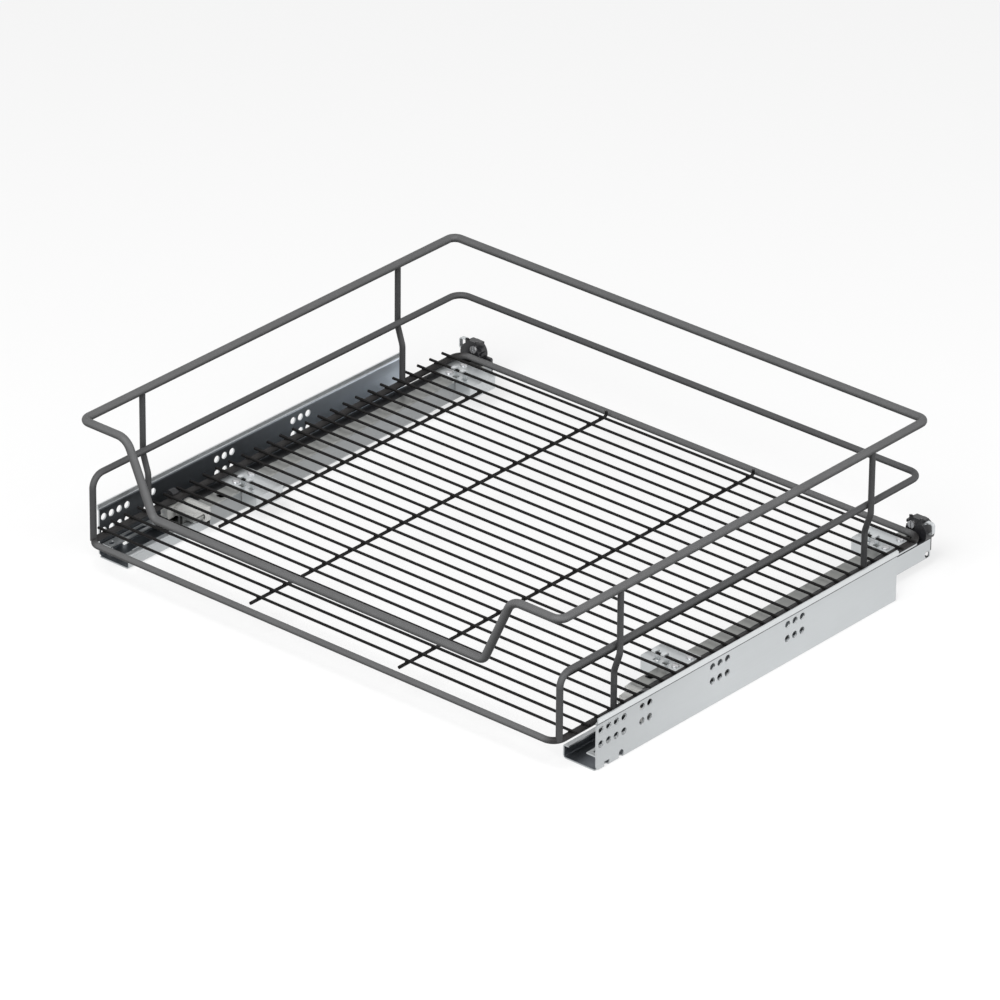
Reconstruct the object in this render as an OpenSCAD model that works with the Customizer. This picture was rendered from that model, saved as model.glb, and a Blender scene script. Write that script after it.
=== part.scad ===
// Pull-out wire basket drawer on a pair of full-extension concealed runners.
// Frame: X is the width, Y runs from the front to the rear, Z is up.
// The runners stand on z = 0, and the whole part is centred on X and Y.
// Depths inside the file are measured from the centre line of the top rim's front wire.

/* [Cabinet] */
// Clear width between the cabinet's side panels
cabinet_inside_w = 564; // [414:1:864]
// Gap from a side panel to the centre line of the top rim
rim_side_gap = 15.3; // [14.8:0.1:17]

/* [Basket] */
// Depth of the top rim between wire centre lines
rim_depth = 478.2; // [460:0.1:520]
// Height of the top rim's centre line above the runners' underside
rim_z = 149.1; // [130:0.1:220]
// Diameter of the top rim wire
rim_wire = 7.5; // [6:0.1:8]
// Bend radius of the top rim's corners, to the wire's centre
rim_corner_r = 8; // [8:0.5:16]
// Length of the short front stub beside the scoop, from the rim's corner
scoop_shoulder = 51.7; // [40:0.1:70]
// How far the scoop's sloping wire runs inwards
scoop_slope_run = 30; // [20:1:45]
// Height of the scoop's low rail
scoop_rail_z = 83; // [70:1:92]
// Bend radius at the top of the scoop
scoop_top_r = 15; // [10:1:20]
// Bend radius at the foot of the scoop
scoop_foot_r = 8; // [7:0.5:12]
// Height of the middle rail's centre line
mid_rail_z = 94.3; // [88:0.1:110]
// Diameter of the middle rail wire
mid_wire = 6; // [5:0.1:6.5]
// How far the middle rail lies inside the top rim
mid_rail_inset = 4.95; // [4.8:0.05:6]
// Bend radius of the middle rail, to the wire's centre
mid_corner_r = 12; // [9:0.5:16]
// Setback of the middle rail's front legs
mid_leg_setback = 6.4; // [6:0.1:9]
// Diameter of the base frame wire
base_wire = 6; // [5.5:0.1:6.5]
// Bend radius of the base frame's corners, to the wire's centre
base_corner_r = 11; // [10:0.5:18]
// Setback of the base frame's front wire
base_front_setback = 1; // [0:0.5:3]
// How far the base frame's back wire lies behind the rim's
base_back_overhang = 4.1; // [2:0.1:6]
// Diameter of the side posts
post_wire = 5.5; // [5:0.1:5.8]
// Height of the cranked stretch of a side post
post_crank_h = 18; // [14:1:24]

/* [Floor grid] */
// Diameter of the cross wires
cross_wire = 2.5; // [2:0.1:3]
// Distance between cross wires
cross_pitch = 16.5; // [15:0.1:20]
// Setback of the first cross wire
cross_first = 19.9; // [18:0.1:24]
// How far a cross wire stands out past the base frame's side
cross_overhang = 4.1; // [2:0.1:5]
// Diameter of the long wires
long_wire = 3; // [2.5:0.1:3.2]
// Distance of the two inner long wires from the middle
long_inner_x = 83.6; // [60:0.1:100]
// Distance of the two outer long wires from the runners' inner faces
long_outer_gap = 38.5; // [36:0.5:60]
// Setback of the inner long wires' front ends
long_front_setback = 10; // [8:1:14]
// Height of the inner long wires' upturned rear ends
long_upturn = 5; // [4:0.5:8]

/* [Cabinet profile] */
// Setback of the cabinet profile from the basket's front
plate_setback = 32; // [28:1:34]
// Length of the cabinet profile
plate_length = 394; // [385:1:399]
// Height of the mounting plate
plate_h = 50; // [46:1:56]
// Height of the strip along the plate's top edge that lies on the side panel
plate_strip_h = 5.3; // [4:0.1:7]
// How far that strip stands out from the plate
plate_step = 1.5; // [1.4:0.1:2]
// Sheet thickness of the cabinet and middle profiles
sheet = 1.5; // [1.2:0.1:1.5]
// Width of the rail at the plate's foot
rail_w = 36; // [35.5:0.1:36.5]
// Height of the rail's inner lip
lip_h = 13; // [12.6:0.1:13.4]
// Width of the flange that the lip ends in
lip_flange_w = 6; // [5.6:0.1:6.4]
// Width of the wall raceway's flange
raceway_w = 11; // [9:0.1:11.4]
// Diameter of the screw holes
screw_hole = 6.5; // [5:0.1:7]
// Distance between the columns of screw holes
hole_pitch = 9.73; // [9:0.01:11]
// Height of the lower row of screw holes
hole_row_z = 24; // [22:0.5:26]
// Distance between the two rows of screw holes
hole_row_pitch = 13.5; // [11:0.1:14]

/* [Middle profile] */
// Setback of the middle profile when closed
middle_setback = 108; // [104:0.5:110]
// Length of the middle profile
middle_length = 307; // [300:1:309]
// Width of the web
web_w = 6; // [5.6:0.1:6.4]
// Width of the rounded head that the drawer profile runs on
head_w = 22; // [20:0.1:22.4]
// Thickness of that head, two layers of sheet
head_t = 3; // [2.8:0.1:3.2]

/* [Drawer profile] */
// Setback of the drawer profile when closed
drawer_setback = 125; // [124:1:130]
// Height of the drawer profile's top face
drawer_top_z = 28.5; // [28:0.1:30]
// Height of the drawer profile's section
drawer_h = 19.5; // [19:0.1:19.6]
// Width of the drawer profile
drawer_w = 28.5; // [28:0.1:29]
// Sheet thickness of the drawer profile
drawer_sheet = 1.25; // [1:0.05:1.5]
// How far the drawer profile stands out past the rail's lip
drawer_inner_overhang = 9.5; // [9:0.1:10]
// How far the drawer profile reaches behind the basket's back wire
drawer_tail = 8.7; // [8:0.1:9.5]
// Diameter of the hole at the drawer profile's rear end
tail_hole = 6; // [4:0.5:6.5]
// Length of a full pull
travel = 430; // [400:5:430]

/* [Carriages] */
// Length of a roller carriage
cage_length = 148; // [130:1:149]
// Rollers that carry the load in a carriage
load_rollers = 5; // [4:1:6]
// Play between a roller and each of its tracks
roller_play = 0.1; // [0.05:0.01:0.15]
// Side play of a carriage in its rail
cage_side_play = 0.25; // [0.2:0.05:0.4]

/* [Brackets and locks] */
// Sheet thickness of the basket brackets
bracket_sheet = 1.5; // [1.2:0.1:1.6]
// How far a bracket reaches inwards from the drawer profile
bracket_reach = 21; // [20:0.5:24]
// Length of a bracket along the runner
bracket_length = 34; // [32:1:38]
// Height of a bracket's turned-down edges
bracket_skirt = 12.5; // [8:0.5:13]
// Diameter of the rivet heads
rivet_head = 7; // [5:0.5:8]
// Diameter of the release lever's pivot pin
pivot_pin = 2.5; // [2:0.1:3]
// Radial running clearance of the release lever on its pin
pivot_clearance = 0.06; // [0.03:0.01:0.1]
// Height of the rear clips' domes above the back wire
clip_rise = 8.5; // [7:0.5:12]
// Depth of the rear clips
clip_depth = 12; // [10:1:16]

/* [Hidden] */

$fn = 32;
eps = 0.01;
weld_gap = 0.05;
seat_gap = 0.3;

wire_grey = [0.29, 0.29, 0.30];
zinc = [0.78, 0.79, 0.80];
zinc_dark = [0.62, 0.64, 0.63];
black_plastic = [0.09, 0.09, 0.10];
nylon = [0.86, 0.86, 0.83];
steel = [0.66, 0.66, 0.68];

// Widths, measured from the middle of the basket
wall_x = cabinet_inside_w / 2;
plate_x = wall_x - plate_step;
plate_in_x = plate_x - sheet;
rail_x = plate_x - rail_w;
rim_x = wall_x - rim_side_gap;
mid_x = rim_x - mid_rail_inset;
base_x = mid_x;
long_outer_x = rail_x - drawer_inner_overhang - long_outer_gap;
post_top_x = mid_x + mid_wire / 2 + post_wire / 2 + weld_gap;
cross_half = base_x + base_wire / 2 + cross_overhang;

// Rail section
shelf_top = sheet;
lip_under = lip_h - sheet;
raceway_in_x = plate_in_x - sheet;
rail_in_x = rail_x + sheet;
inner_foot_play = 1.5;
outer_foot_play = 3;
rail_bend_r = 3;
foot_z = (shelf_top + lip_under - sheet) / 2;
foot_in_x = rail_in_x + inner_foot_play;
foot_out_x = raceway_in_x - outer_foot_play;
track_gap = foot_z - shelf_top;
lower_roller = track_gap - 2 * roller_play;

// Drawer and middle profiles
drawer_in_x = rail_x - drawer_inner_overhang;
drawer_out_x = drawer_in_x + drawer_w;
drawer_bottom_z = drawer_top_z - drawer_h;
drawer_inside_z = [drawer_bottom_z + drawer_sheet, drawer_top_z - drawer_sheet];
head_z = (drawer_inside_z[0] + drawer_inside_z[1] - head_t) / 2;
head_mid_x = drawer_in_x + drawer_w / 2;
upper_track_gap = drawer_inside_z[1] - head_z - head_t;
upper_roller = upper_track_gap - 2 * roller_play;
web_x = rail_x + lip_flange_w + 1 + web_w / 2;
web_slot = web_w - 2 * sheet;
drawer_lip_in = rail_x - 0.9;
drawer_lip_out = web_x + web_w / 2 + 0.8;
over_rail_z = lip_h + 1.5;

// Basket heights
base_z = drawer_top_z + bracket_sheet + base_wire / 2;
cross_z = base_z + base_wire / 2 + cross_wire / 2 + weld_gap;
long_z = cross_z - cross_wire / 2 - long_wire / 2 - weld_gap;

// Depths, from the centre line of the rim's front wire
base_back = rim_depth + base_back_overhang;
plate_back = plate_setback + plate_length;
cross_count = floor((base_back - base_wire / 2 - cross_first - 12) / cross_pitch) + 1;
rear_gap_index = cross_count - 5;
drawer_back = base_back + base_wire / 2 + drawer_tail;
middle_back = middle_setback + middle_length;
lower_cage_front = plate_setback + 6.5 + travel / 4;
upper_cage_front = middle_setback + 5 + travel / 4;
clip_front = base_back + base_wire / 2 + seat_gap;
clip_back = clip_front + clip_depth;
front_face = -rim_wire / 2;
frame_shift = -(front_face + clip_back) / 2;

function cross_y(i) = cross_first + cross_pitch * i;
post_front_y = cross_y(3) + cross_wire / 2 + post_wire / 2 + 1.8;
post_rear_y = cross_y(rear_gap_index) + cross_wire / 2 + post_wire / 2 + 0.6;
front_hook_wire = cross_y(9);
rear_hook_wire = cross_y(cross_count - 2);

// Brackets, release levers and rear clips
bracket_x = [drawer_in_x - bracket_reach, drawer_out_x - 0.5];
hook_xs = [bracket_x[0] + 13, bracket_x[0] + 23];
hook_w = 4;
rivet_x = drawer_in_x + 13;
nose_y = [cross_y(5) + cross_wire / 2 + 3.5, cross_y(6) - cross_wire / 2 - 3.5];
nose_mid_y = (nose_y[0] + nose_y[1]) / 2;
lever_y = [nose_mid_y - 7, nose_mid_y + 7];
lever_t = 3.4;
lever_eye = lever_t + 1.6;
lever_in_x = base_x + base_wire / 2 + 1.6;
pivot_x = lever_in_x + lever_t / 2;
pivot_z = lip_h + 7.7;
fork_out_x = pivot_x + lever_t / 2 + 1.75;
lock_ear = 2.6;
lock_y = [lever_y[0] - lock_ear - seat_gap, lever_y[1] + lock_ear + seat_gap];
clip_mid_x = base_x - 7.75;
dome_r = clip_rise + 2.5;
clip_screw_d = 3.5;
clip_screw_length = 9;
clip_screw_x = clip_mid_x - 5;
clip_plug_front = drawer_back - 13.5;
tail_hole_y = drawer_back - tail_hole / 2 - 1.2;
tail_hole_z = drawer_bottom_z + tail_hole / 2 + 1.8;
plug_x = [drawer_in_x + drawer_sheet + 0.1, drawer_out_x - drawer_sheet - 0.1];
plug_z = [over_rail_z, drawer_inside_z[1] - 0.1];

// Geometry helpers
function unit(v) = v / norm(v);
function any_normal(v) = abs(v[2]) < 0.9 * norm(v) ? unit(cross([0, 0, 1], v)) : unit(cross([0, 1, 0], v));

module frame() {
    translate([0, frame_shift, 0]) children();
}

// The right-hand runner is drawn, and the left-hand one is its mirror image
module on_side(side) {
    frame() if (side == "left") mirror([1, 0, 0]) children(); else children();
}

module placed(at, x, z) {
    y = cross(z, x);
    multmatrix([
        [x[0], y[0], z[0], at[0]],
        [x[1], y[1], z[1], at[1]],
        [x[2], y[2], z[2], at[2]],
        [0, 0, 0, 1]
    ]) children();
}

function turn(a, p, b) = 180 - acos(unit(a - p) * unit(b - p));
function set_off(a, p, b, r) = r * tan(turn(a, p, b) / 2);

// A round wire through the points, with bend radius rs[i] at point i
module wire(pts, rs, d) {
    z = unit(pts[1] - pts[0]);
    placed(pts[0], any_normal(z), z) wire_run(pts, rs, d, 0, any_normal(z), 0, 0);
}

// A slanting bend is a hair thicker than the wire, and the straight runs end inside it
slant_swell = 0.02;
slant_lap = 0.05;
function slants(phi) = abs(phi - 90) > 0.01;

// Straight run i and all that follows it, drawn along z from where the run starts
module wire_run(pts, rs, d, i, x, head, head_lap) {
    last = i == len(pts) - 2;
    phi = last ? 90 : turn(pts[i], pts[i + 1], pts[i + 2]);
    tail = last ? 0 : set_off(pts[i], pts[i + 1], pts[i + 2], rs[i + 1]);
    lap = slants(phi) ? slant_lap : 0;
    run = norm(pts[i + 1] - pts[i]) - head - tail;
    translate([0, 0, -head_lap]) cylinder(h = run + head_lap + lap, d = d);
    if (!last) {
        r = rs[i + 1];
        z = unit(pts[i + 1] - pts[i]);
        next = unit(pts[i + 2] - pts[i + 1]);
        inward = unit(next - (next * z) * z);
        bend_d = slants(phi) ? d + slant_swell : d;
        translate([0, 0, run]) rotate(atan2(next * cross(z, x), next * x)) translate([r, 0, 0]) {
            placed([0, 0, 0], [-1, 0, 0], [0, 1, 0]) {
                rotate_extrude(angle = phi) translate([r, 0]) circle(d = bend_d);
            }
            rotate([0, phi, 0]) translate([-r, 0, 0]) {
                wire_run(pts, rs, d, i + 1, inward * cos(phi) - z * sin(phi), tail, lap);
            }
        }
    }
}

// A closed loop: its right half runs through the points from x = 0 back to x = 0
module wire_loop(pts, rs, d) {
    n = len(pts);
    over = [1, 0, 0];
    for (side = [0, 1]) mirror([side, 0, 0]) difference() {
        wire([for (i = [0 : n - 1]) i == 0 || i == n - 1 ? pts[i] - over : pts[i]], rs, d);
        translate([-10, pts[0][1] - d, -d]) cube([10, pts[n - 1][1] - pts[0][1] + 2 * d, 2 * rim_z]);
    }
}

// A bent strip of sheet in 2-D along its mid-line, whose runs lie along the axes.
// Each corner is a quarter ring, and bend is its radius to the mid-line, one for all or a list.
module strip(pts, t, bend) {
    n = len(pts);
    radii = [for (i = [0 : n - 1]) i == 0 || i == n - 1 ? 0 : is_list(bend) ? bend[i - 1] : bend];
    for (i = [0 : n - 2]) {
        dir = unit(pts[i + 1] - pts[i]);
        from = pts[i] + dir * radii[i];
        to = pts[i + 1] - dir * radii[i + 1];
        low = [min(from[0], to[0]), min(from[1], to[1])];
        size = [abs(to[0] - from[0]), abs(to[1] - from[1])];
        wide = size[0] > size[1];
        if (max(size) > eps) {
            translate(low - [wide ? 0 : t / 2, wide ? t / 2 : 0]) {
                square([wide ? size[0] : t, wide ? t : size[1]]);
            }
        }
    }
    for (i = [1 : 1 : n - 2]) {
        r = radii[i];
        inward = unit(pts[i - 1] - pts[i]) + unit(pts[i + 1] - pts[i]);
        centre = pts[i] + inward * r;
        far = centre - inward * (r + t);
        intersection() {
            translate(centre) difference() {
                circle(r + t / 2);
                circle(r - t / 2);
            }
            translate([min(centre[0], far[0]), min(centre[1], far[1])]) square(r + t);
        }
    }
}

// A section in X and Z, run along Y from y0 to y1
module run_y(y0, y1) {
    translate([0, y1, 0]) rotate([90, 0, 0]) linear_extrude(y1 - y0) children();
}

// An outline in Y and Z, run along X from x0 to x1
module run_x(x0, x1) {
    translate([x0, 0, 0]) rotate([90, 0, 90]) linear_extrude(x1 - x0) children();
}

module block(x, y, z) {
    translate([x[0], y[0], z[0]]) cube([x[1] - x[0], y[1] - y[0], z[1] - z[0]]);
}

// A rectangle from corner p to corner q with round corners
module round_rect(p, q, r) {
    translate([p[0] + r, p[1]]) square([q[0] - p[0] - 2 * r, q[1] - p[1]]);
    translate([p[0], p[1] + r]) square([q[0] - p[0], q[1] - p[1] - 2 * r]);
    for (x = [p[0] + r, q[0] - r], y = [p[1] + r, q[1] - r]) translate([x, y]) circle(r);
}

module bore_x(x0, x1, y, z, d) {
    translate([x0, y, z]) rotate([0, 90, 0]) cylinder(h = x1 - x0, d = d);
}

module bore_z(x, y, z0, z1, d) {
    translate([x, y, z0]) cylinder(h = z1 - z0, d = d);
}

// Basket frame
module top_rim() {
    color(wire_grey) frame() wire_loop([
        [0, 0, scoop_rail_z],
        [rim_x - scoop_shoulder - scoop_slope_run, 0, scoop_rail_z],
        [rim_x - scoop_shoulder, 0, rim_z],
        [rim_x, 0, rim_z],
        [rim_x, rim_depth, rim_z],
        [0, rim_depth, rim_z]
    ], [0, scoop_foot_r, scoop_top_r, rim_corner_r, rim_corner_r, 0], rim_wire);
}

module base_loop(d) {
    wire_loop([
        [0, base_front_setback, base_z],
        [base_x, base_front_setback, base_z],
        [base_x, base_back, base_z],
        [0, base_back, base_z]
    ], [0, base_corner_r, base_corner_r, 0], d);
}

module base_frame() {
    color(wire_grey) frame() base_loop(base_wire);
}

module middle_rail() {
    back = base_back - base_back_overhang + 1.7;
    color(wire_grey) frame() difference() {
        wire([
            [-mid_x, mid_leg_setback, base_z],
            [-mid_x, mid_leg_setback, mid_rail_z],
            [-mid_x, back, mid_rail_z],
            [mid_x, back, mid_rail_z],
            [mid_x, mid_leg_setback, mid_rail_z],
            [mid_x, mid_leg_setback, base_z]
        ], [0, mid_corner_r, mid_corner_r, mid_corner_r, mid_corner_r, 0], mid_wire);
        base_loop(base_wire + 2 * weld_gap);
        block([-mid_x - mid_wire, mid_x + mid_wire], [0, 2 * mid_leg_setback], [0, base_z + eps]);
    }
}

// A post is coped to the rim at its top and to the base frame at its foot
module side_post(y) {
    crank_top = mid_rail_z - mid_wire / 2 - 3;
    difference() {
        wire([
            [base_x, y, base_z],
            [base_x, y, crank_top - post_crank_h],
            [post_top_x, y, crank_top],
            [post_top_x, y, rim_z]
        ], [0, 14, 14, 0], post_wire);
        translate([rim_x, y + post_wire, rim_z]) rotate([90, 0, 0]) {
            cylinder(h = 2 * post_wire, d = rim_wire + 2 * weld_gap);
        }
        translate([base_x, y + post_wire, base_z]) rotate([90, 0, 0]) {
            cylinder(h = 2 * post_wire, d = base_wire + 2 * weld_gap);
        }
        block([base_x - post_wire, base_x + post_wire], [y - post_wire, y + post_wire], [0, base_z]);
        block([rim_x - post_wire, rim_x + 2 * post_wire], [y - post_wire, y + post_wire],
            [rim_z, rim_z + post_wire]);
    }
}

module side_posts() {
    color(wire_grey) for (side = ["left", "right"], y = [post_front_y, post_rear_y]) {
        on_side(side) side_post(y);
    }
}

module floor_cross_wires() {
    color(wire_grey) frame() for (i = [0 : cross_count - 1]) {
        translate([-cross_half, cross_y(i), cross_z]) rotate([0, 90, 0]) {
            cylinder(h = 2 * cross_half, d = cross_wire);
        }
    }
}

// The inner ones turn up behind the last cross wire, and the outer ones stop short at both ends
module floor_long_wires() {
    back = cross_y(cross_count - 1) + cross_wire / 2 + long_wire / 2 + 5;
    outer_y = [cross_y(5) - cross_pitch / 2, cross_y(cross_count - 3) + cross_wire];
    color(wire_grey) frame() for (side = [-1, 1]) {
        wire([
            [side * long_inner_x, long_front_setback, long_z],
            [side * long_inner_x, back, long_z],
            [side * long_inner_x, back, long_z + long_upturn]
        ], [0, 3, 0], long_wire);
        wire([
            [side * long_outer_x, outer_y[0], long_z],
            [side * long_outer_x, outer_y[1], long_z]
        ], [0, 0], long_wire);
    }
}

// Cabinet profile: one sheet folded into the rail, the plate and its top strip
module cabinet_section() {
    half = sheet / 2;
    strip([
        [rail_x + lip_flange_w, lip_h - half],
        [rail_x + half, lip_h - half],
        [rail_x + half, half],
        [plate_x - half, half],
        [plate_x - half, plate_h - plate_strip_h + half],
        [wall_x - half, plate_h - plate_strip_h + half],
        [wall_x - half, plate_h]
    ], sheet, [1.2, rail_bend_r, 1.2, min(plate_step / 2, 1.2), min(plate_step / 2, 1.2)]);
}

// Each group: setback of its first column, and its number of columns
hole_groups = [[37.3, 4], [89.5, 2], [180.3, 3], [278.9, 3]];

module screw_holes() {
    for (g = hole_groups, i = [0 : g[1] - 1], row = [0, 1]) {
        bore_x(plate_in_x - 3, wall_x + 1, g[0] + i * hole_pitch, hole_row_z + row * hole_row_pitch,
            screw_hole);
    }
}

module corner_cut_x(x0, x1, y, z, r, dy, dz) {
    difference() {
        block([x0, x1], [min(y, y + dy * r), max(y, y + dy * r)], [min(z, z + dz * r), max(z, z + dz * r)]);
        bore_x(x0 - 1, x1 + 1, y + dy * r, z + dz * r, 2 * r);
    }
}

module cabinet_profile(side) {
    color(zinc) on_side(side) difference() {
        run_y(plate_setback, plate_back) cabinet_section();
        screw_holes();
        // round lower front corner of the plate
        corner_cut_x(plate_in_x - 0.5, wall_x, plate_setback, 0, 5, 1, 1);
        // open notch and keyhole notch in the plate's foot
        block([plate_in_x - 2, wall_x], [plate_setback + 10, plate_setback + 16.5], [-1, 5.5]);
        block([plate_in_x - 2, wall_x], [plate_setback + 28.5, plate_setback + 34.5], [-1, 5]);
        bore_x(plate_in_x - 2, wall_x, plate_setback + 31.5, 5, 6);
        // lanced windows in the rail's floor
        for (y = [plate_setback + 26, plate_back - 40]) {
            run_z(-1, sheet + 1) {
                round_rect([rail_x + 10, y], [rail_x + 22, y + 12], 2);
            }
        }
        // top strip ends with a small radius
        corner_cut_x(plate_x + eps, wall_x + 1, plate_back, plate_h, 2, -1, -1);
    }
}

// An outline in X and Y, run along Z from z0 to z1
module run_z(z0, z1) {
    translate([0, 0, z0]) linear_extrude(z1 - z0) children();
}

// Angle that is welded to the plate and holds the middle profile's outer edge down
module wall_raceway(side) {
    half = sheet / 2;
    y0 = plate_setback + 2;
    y1 = plate_back - 14;
    color(zinc) on_side(side) difference() {
        run_y(y0, y1) strip([
            [plate_in_x - half, shelf_top + 5],
            [plate_in_x - half, lip_h - half],
            [plate_in_x - raceway_w, lip_h - half]
        ], sheet, 1);
        run_z(lip_under - 1, lip_h + 1) {
            for (y = [y0 + 4, y0 + 22]) {
                w = y == y0 + 4 ? 6 : 28;
                round_rect([plate_in_x - raceway_w + 3, y], [plate_in_x - 3.2, y + w], 1.5);
            }
            for (y = [y0 + 110 : 90 : y1 - 40]) {
                round_rect([plate_in_x - raceway_w + 3, y], [plate_in_x - 3.2, y + 22], 1.5);
            }
        }
    }
}

module rear_stop(side) {
    y0 = middle_back + seat_gap;
    color(black_plastic) on_side(side) difference() {
        block([rail_in_x + rail_bend_r, raceway_in_x - 0.2], [y0, plate_back - 1], [shelf_top, lip_under - 0.2]);
        block([rail_in_x + 7, raceway_in_x - 7], [y0 + 3, plate_back], [shelf_top + 3, lip_h]);
        // way for the drawer profile's outer lip
        block([rail_x + lip_flange_w, plate_in_x - raceway_w], [y0 - 1, plate_back],
            [drawer_bottom_z - 1, lip_h]);
    }
}

// Middle profile: two feet in the rail, a double web and a rounded head
module middle_section() {
    half = sheet / 2;
    wall_in = web_x - web_w / 2 + half;
    wall_out = web_x + web_w / 2 - half;
    difference() {
        union() {
            strip([
                [foot_in_x, foot_z + half],
                [wall_in, foot_z + half],
                [wall_in, head_z + half]
            ], sheet, 1.2);
            strip([
                [foot_out_x, foot_z + half],
                [wall_out, foot_z + half],
                [wall_out, head_z + half]
            ], sheet, 1.2);
            translate([head_mid_x - head_w / 2 + head_t / 2, head_z]) square([head_w - head_t, head_t]);
            for (s = [-1, 1]) {
                translate([head_mid_x + s * (head_w - head_t) / 2, head_z + head_t / 2]) {
                    circle(d = head_t);
                }
            }
        }
        translate([web_x - web_slot / 2, 0]) square([web_slot, head_z + head_t / 2]);
    }
}

module middle_profile(side) {
    color(zinc_dark) on_side(side) difference() {
        run_y(middle_setback, middle_back) middle_section();
        // the web is lanced for the ends of the carriages' travel
        for (y = [middle_setback + 14, middle_back - 22]) {
            run_x(web_x - web_w, web_x + web_w) {
                round_rect([y, foot_z + 4], [y + 8, foot_z + 9], 2);
            }
        }
    }
}

// Roller carriage of the upper track, between the middle profile's head and the drawer profile
module upper_cage(side) {
    x = [drawer_in_x + drawer_sheet + cage_side_play, drawer_out_x - drawer_sheet - cage_side_play];
    head_x = [head_mid_x - head_w / 2 - cage_side_play, head_mid_x + head_w / 2 + cage_side_play];
    play = 0.7;
    y = [upper_cage_front, upper_cage_front + cage_length];
    color(black_plastic) on_side(side) difference() {
        run_y(y[0], y[1]) difference() {
            round_rect([x[0], drawer_inside_z[0] + play], [x[1], drawer_inside_z[1] - play], 0.8);
            translate([head_x[0], head_z - play]) {
                square([head_x[1] - head_x[0], head_t + 2 * play]);
            }
            translate([drawer_lip_in + 0.2, 0]) {
                square([drawer_lip_out - drawer_lip_in - 0.4, head_z]);
            }
        }
        for (p = upper_load_ys()) {
            block([upper_load_x[0] - 0.3, upper_load_x[1] + 0.3],
                [p - upper_roller / 2 - 0.15, p + upper_roller / 2 + 0.15],
                [head_z + head_t, drawer_top_z]);
        }
        for (p = cage_end_ys(upper_cage_front, upper_roller)) {
            block([upper_hold_x[0] - 0.3, upper_hold_x[1] + 0.3],
                [p - upper_roller / 2 - 0.15, p + upper_roller / 2 + 0.15],
                [drawer_bottom_z, head_z]);
        }
    }
}

upper_load_x = [head_mid_x - head_w / 2 + 1, head_mid_x + head_w / 2 - 1];
upper_hold_x = [head_mid_x - head_w / 2 + 0.6, drawer_lip_in - 0.6];
function cage_ys(front, n) = [for (i = [0 : n - 1]) front + 12 + i * (cage_length - 24) / (n - 1)];
function upper_load_ys() = cage_ys(upper_cage_front, load_rollers);
function cage_end_ys(front, d) = [front + 12 + 2.5 * d, front + cage_length - 12 - 2.5 * d];

module roller_x(x, y, z, d) {
    bore_x(x[0], x[1], y, z, d);
}

module upper_rollers(side) {
    color(nylon) on_side(side) {
        for (p = upper_load_ys()) {
            roller_x(upper_load_x, p, head_z + head_t + upper_track_gap / 2, upper_roller);
        }
        for (p = cage_end_ys(upper_cage_front, upper_roller)) {
            roller_x(upper_hold_x, p, head_z - upper_track_gap / 2, upper_roller);
        }
    }
}

// Roller carriage of the lower track, between the rail and the middle profile's feet
lower_load_x = [
    [foot_in_x + 0.6, web_x - web_w / 2 - 0.4],
    [web_x + web_w / 2 + 0.4, foot_out_x - 0.6]
];
lower_hold_x = [
    [foot_in_x + 0.4, rail_x + lip_flange_w - 0.5],
    [plate_in_x - raceway_w + 0.8, foot_out_x - 0.4]
];
function lower_load_ys() = cage_ys(lower_cage_front, load_rollers);

module lower_cage(side) {
    play = 0.7;
    x = [rail_in_x + cage_side_play, raceway_in_x - cage_side_play];
    foot_x = [foot_in_x - cage_side_play, foot_out_x + cage_side_play];
    y = [lower_cage_front, lower_cage_front + cage_length];
    color(black_plastic) on_side(side) difference() {
        run_y(y[0], y[1]) difference() {
            round_rect([x[0], shelf_top + play], [x[1], lip_under - play], 2.5);
            translate([foot_x[0], foot_z - play]) square([foot_x[1] - foot_x[0], sheet + 2 * play]);
            translate([rail_x + lip_flange_w - 0.3, foot_z]) {
                square([raceway_in_x + sheet - raceway_w - rail_x - lip_flange_w + 0.6, lip_h]);
            }
        }
        for (p = lower_load_ys(), u = lower_load_x) {
            block([u[0] - 0.3, u[1] + 0.3], [p - lower_roller / 2 - 0.15, p + lower_roller / 2 + 0.15],
                [0, foot_z]);
        }
        for (p = cage_end_ys(lower_cage_front, lower_roller), u = lower_hold_x) {
            block([u[0] - 0.3, u[1] + 0.3], [p - lower_roller / 2 - 0.15, p + lower_roller / 2 + 0.15],
                [foot_z + sheet, lip_h]);
        }
    }
}

module lower_rollers(side) {
    color(nylon) on_side(side) {
        for (p = lower_load_ys(), u = lower_load_x) {
            roller_x(u, p, shelf_top + track_gap / 2, lower_roller);
        }
        for (p = cage_end_ys(lower_cage_front, lower_roller), u = lower_hold_x) {
            roller_x(u, p, foot_z + sheet + track_gap / 2, lower_roller);
        }
    }
}

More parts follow.
